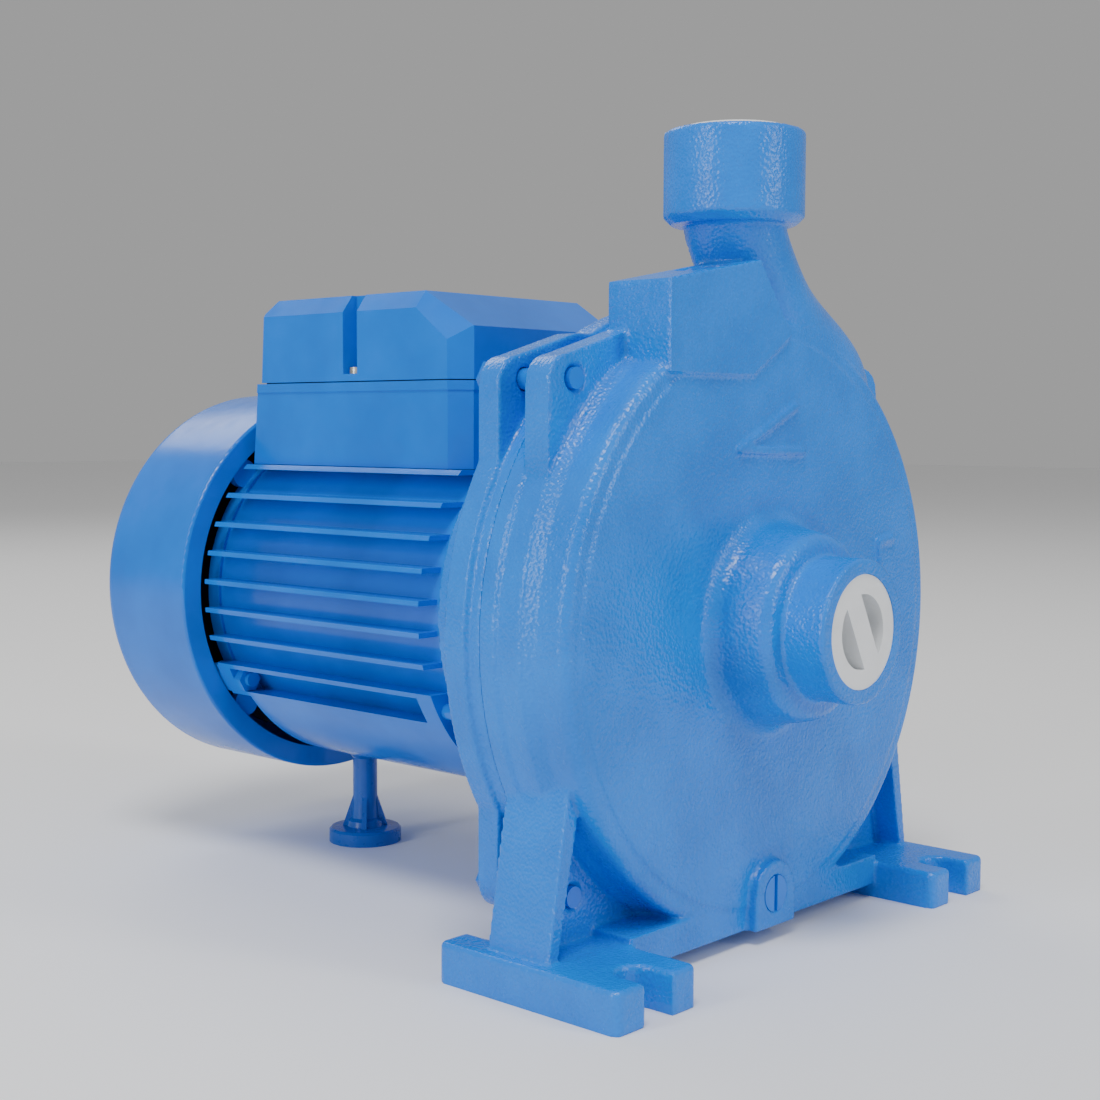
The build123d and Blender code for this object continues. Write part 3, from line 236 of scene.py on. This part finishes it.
def moulded(name, colour, roughness, grain=0.0006, depth=0.00005, soft=0.0):
    """Moulded plastic with a fine grain."""
    material, shader = new_material(name, colour, roughness)
    shader.inputs["Subsurface Weight"].default_value = soft
    shader.inputs["Subsurface Radius"].default_value = (0.002, 0.002, 0.002)
    tone = noise(material, 0.01, detail=4)
    dark = tuple(0.94 * c for c in colour)
    links = material.node_tree.links
    links.new(ramp(material, tone, dark, colour, 0.35, 0.65), shader.inputs["Base Color"])
    shine = spread(material, noise(material, 0.004), roughness - 0.05, roughness + 0.05)
    links.new(shine, shader.inputs["Roughness"])
    bump(material, shader, [(noise(material, grain, detail=2), depth, 0.5)])
    return material


def metal(name, colour, roughness, grain=0.001, depth=0.00003):
    """Bare metal with fine machining or casting marks."""
    material, shader = new_material(name, colour, roughness, metallic=1.0)
    links = material.node_tree.links
    tone = noise(material, 0.006, detail=5)
    dark = tuple(0.8 * c for c in colour)
    links.new(ramp(material, tone, dark, colour, 0.3, 0.7), shader.inputs["Base Color"])
    shine = spread(material, noise(material, 0.002), roughness - 0.08, roughness + 0.1)
    links.new(shine, shader.inputs["Roughness"])
    bump(material, shader, [(noise(material, grain, detail=3), depth, 0.5)])
    return material


def varnished_copper():
    """Varnished copper wire, wound along the slots."""
    material, shader = new_material("varnished_copper", (0.5, 0.16, 0.04), 0.3, metallic=0.7, coat=0.5)
    links = material.node_tree.links
    wave = add_node(material, "ShaderNodeTexWave", Scale=600, Distortion=2.0, Detail=2.0)
    links.new(object_position(material), wave.inputs["Vector"])
    wires = ramp(material, wave.outputs["Fac"], (0.25, 0.06, 0.015), (0.6, 0.2, 0.05))
    links.new(wires, shader.inputs["Base Color"])
    bump(material, shader, [(wave.outputs["Fac"], 0.0003, 0.6)])
    return material


def laminations():
    """Stacked sheet edges across the shaft."""
    material, shader = new_material("laminations", (0.2, 0.2, 0.22), 0.45, metallic=0.9)
    links = material.node_tree.links
    wave = material.node_tree.nodes.new("ShaderNodeTexWave")
    wave.bands_direction = "Y"
    wave.inputs["Scale"].default_value = 320
    links.new(object_position(material), wave.inputs["Vector"])
    sheets = ramp(material, wave.outputs["Fac"], (0.08, 0.08, 0.09), (0.24, 0.24, 0.26))
    links.new(sheets, shader.inputs["Base Color"])
    bump(material, shader, [(wave.outputs["Fac"], 0.0001, 0.6)])
    return material


def make_materials():
    """One finish for each material slot of the record."""
    return {
        "cast_paint": cast_enamel(),
        "smooth_paint": smooth_enamel(),
        "stand_plastic": moulded("stand_plastic", (0.0, 0.10, 0.48), 0.3),
        "plug_plastic": moulded("plug_plastic", (0.78, 0.80, 0.82), 0.36, soft=0.15),
        "zinc_steel": metal("zinc_steel", (0.62, 0.62, 0.58), 0.3),
        "steel": metal("steel", (0.6, 0.6, 0.6), 0.25),
        "brass": metal("brass", (0.72, 0.5, 0.2), 0.28),
        "cast_brass": metal("cast_brass", (0.62, 0.42, 0.16), 0.42, grain=0.0015, depth=0.00015),
        "rubber": moulded("rubber", (0.015, 0.015, 0.016), 0.65),
        "ceramic": moulded("ceramic", (0.8, 0.78, 0.72), 0.18),
        "carbon": moulded("carbon", (0.03, 0.03, 0.033), 0.45),
        "lamination": laminations(),
        "cast_aluminium": metal("cast_aluminium", (0.62, 0.63, 0.64), 0.42, grain=0.0012, depth=0.0001),
        "copper": varnished_copper(),
        "black_plastic": moulded("black_plastic", (0.02, 0.02, 0.022), 0.42, grain=0.0008, depth=0.0001),
        "bearing_steel": metal("bearing_steel", (0.7, 0.7, 0.71), 0.12),
        "capacitor_case": moulded("capacitor_case", (0.6, 0.6, 0.57), 0.3),
        "phenolic": moulded("phenolic", (0.07, 0.03, 0.012), 0.4),
    }


# ---------------------------------------------------------------- shapes
def shade_by_angle(mesh, angle=35):
    """Smooth shading with creases where faces meet at more than the angle."""
    mesh.shade_smooth()
    mesh.set_sharp_from_angle(angle=math.radians(angle))


def dress_node(node, material, edge):
    """CAD node with its material, softened edges and smooth shading."""
    piece = NODES[node]
    piece.data.materials.clear()
    piece.data.materials.append(material)
    shade_by_angle(piece.data)
    if edge:
        bevel = piece.modifiers.new("soft_edges", "BEVEL")
        bevel.width = edge
        bevel.segments = 2
        bevel.limit_method = "ANGLE"
        bevel.angle_limit = math.radians(40)
        bevel.harden_normals = False


def applied(piece):
    """The piece with its modifiers applied to its mesh."""
    graph = bpy.context.evaluated_depsgraph_get()
    mesh = bpy.data.meshes.new_from_object(piece.evaluated_get(graph))
    piece.modifiers.clear()
    piece.data = mesh
    return piece


def true_up(mesh, rules):
    """Machined faces and bores brought back to size after smoothing."""
    count = len(mesh.vertices)
    points = np.empty(3 * count)
    mesh.vertices.foreach_get("co", points)
    points = points.reshape(count, 3)
    for rule in rules:
        rule(points)
    mesh.vertices.foreach_set("co", points.ravel())
    mesh.update()


def flat_face(axis, level, reach, inside=None):
    """Rule that puts vertices near a level onto it."""

    def rule(points):
        near = np.abs(points[:, axis] - level) < reach
        if inside is not None:
            near &= inside(points)
        points[near, axis] = level

    return rule


def round_bore(axis, centre, radius, low, high, reach):
    """Rule that puts vertices near a bore's wall onto it."""
    others = [index for index in range(3) if index != axis]

    def rule(points):
        offset = points[:, others] - np.array(centre)
        distance = np.hypot(offset[:, 0], offset[:, 1])
        near = np.abs(distance - radius) < reach
        near &= (points[:, axis] > low) & (points[:, axis] < high)
        scale = radius / distance[near]
        points[np.ix_(near, others)] = np.array(centre) + offset[near] * scale[:, None]

    return rule


def cast_piece(node, name, material, voxel, rules):
    """Casting rebuilt from its CAD node with the rounded corners and roots of a sand mould."""
    source = NODES[node]
    piece = bpy.data.objects.new(name, source.data.copy())
    bpy.context.scene.collection.objects.link(piece)
    remesh = piece.modifiers.new("remesh", "REMESH")
    remesh.mode = "VOXEL"
    remesh.voxel_size = voxel
    smooth = piece.modifiers.new("smooth", "SMOOTH")
    smooth.factor = 0.5
    smooth.iterations = SMOOTHING_ROUNDS
    applied(piece)
    true_up(piece.data, rules)
    piece.data.materials.clear()
    piece.data.materials.append(material)
    shade_by_angle(piece.data, 50)
    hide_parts(node)
    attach(piece, "housing")
    return piece


def make_castings(material):
    """Pump casing and bracket."""
    voxel = 0.6 * MM
    bore_low = SUCTION_LOW.y - 2 * MM

    def in_port(points):
        return np.hypot(points[:, 0], points[:, 2] - SHAFT_Z) < PORT_FACE_R

    def on_port(points):
        return np.hypot(points[:, 0], points[:, 1] - PORT_Y) < PORT_FACE_R

    def above_feet(points):
        return points[:, 2] > 30 * MM

    cast_piece(
        "pump_casing",
        "cast_casing",
        material,
        voxel,
        [
            round_bore(1, (0, SHAFT_Z), PORT_R, bore_low, SUCTION_HIGH.y, 0.8 * MM),
            round_bore(2, (0, PORT_Y), PORT_R, DISCHARGE_LOW.z, CASING_HIGH.z + MM, 0.8 * MM),
            flat_face(1, CASING_LOW.y, 0.6 * MM, in_port),
            flat_face(2, CASING_HIGH.z, 0.6 * MM, on_port),
            flat_face(2, CASING_LOW.z, 0.3 * MM),
            flat_face(1, JOINT_Y - JOINT_GAP / 2, 0.5 * MM, above_feet),
        ],
    )
    cast_piece(
        "bracket",
        "cast_bracket",
        material,
        voxel,
        [flat_face(1, JOINT_Y + JOINT_GAP / 2, 0.5 * MM)],
    )


EDGES = {
    "motor_frame": 0.25 * MM,
    "fan_cover": 0.0,
    "terminal_base": 0.5 * MM,
    "terminal_lid": 0.6 * MM,
    "stand": 0.4 * MM,
    "suction_plug": 0.35 * MM,
    "discharge_plug": 0.35 * MM,
    "drain_plug": 0.25 * MM,
    "priming_plug": 0.2 * MM,
    "casing_bolts": 0.35 * MM,
    "rear_frame_screws": 0.3 * MM,
    "rear_frame_nuts": 0.3 * MM,
    "front_frame_screws": 0.3 * MM,
    "cover_screws": 0.3 * MM,
    "cooling_fan": 0.3 * MM,
    "gland_nut": 0.4 * MM,
    "gland_body": 0.4 * MM,
}


# ---------------------------------------------------------------- studio
def area_light(name, place, target, size, power):
    """Soft rectangular light aimed at a point."""
    data = bpy.data.lights.new(name, "AREA")
    data.shape = "RECTANGLE"
    data.size, data.size_y = size
    data.energy = power
    light = bpy.data.objects.new(name, data)
    bpy.context.scene.collection.objects.link(light)
    light.location = place
    light.rotation_euler = (Vector(target) - Vector(place)).to_track_quat("-Z", "Y").to_euler()


def make_studio():
    """Plain pale floor and soft studio light."""
    world = bpy.data.worlds.new("studio")
    world.use_nodes = True
    background = world.node_tree.nodes["Background"]
    background.inputs["Color"].default_value = (1, 1, 1, 1)
    background.inputs["Strength"].default_value = 0.38
    bpy.context.scene.world = world
    mesh = bpy.data.meshes.new("floor")
    shape = bmesh.new()
    bmesh.ops.create_grid(shape, x_segments=1, y_segments=1, size=6)
    shape.to_mesh(mesh)
    shape.free()
    floor = bpy.data.objects.new("floor", mesh)
    floor.location.z = CAD_LOW.z - 0.02 * MM
    bpy.context.scene.collection.objects.link(floor)
    material, _ = new_material("floor", (0.93, 0.93, 0.93), 0.6)
    floor.data.materials.append(material)
    area_light("key", (-0.7, -0.5, 1.8), CENTRE, (0.6, 0.6), 22)
    area_light("fill", (0.35, -1.6, 0.8), CENTRE, (0.3, 1.2), 9)
    area_light("side", (-1.6, 0.2, 0.7), CENTRE, (0.3, 1.2), 10)
    area_light("back", (0.4, 1.4, 1.4), CENTRE, (1.0, 0.8), 8)


make_camera()
make_studio()
MATERIALS = make_materials()
SLOTS = {part["node"]: part["material_slot"] for part in frame["record"]["subparts"]}
for node, slot in SLOTS.items():
    dress_node(node, MATERIALS[slot], EDGES.get(node, 0))
make_castings(MATERIALS["cast_paint"])
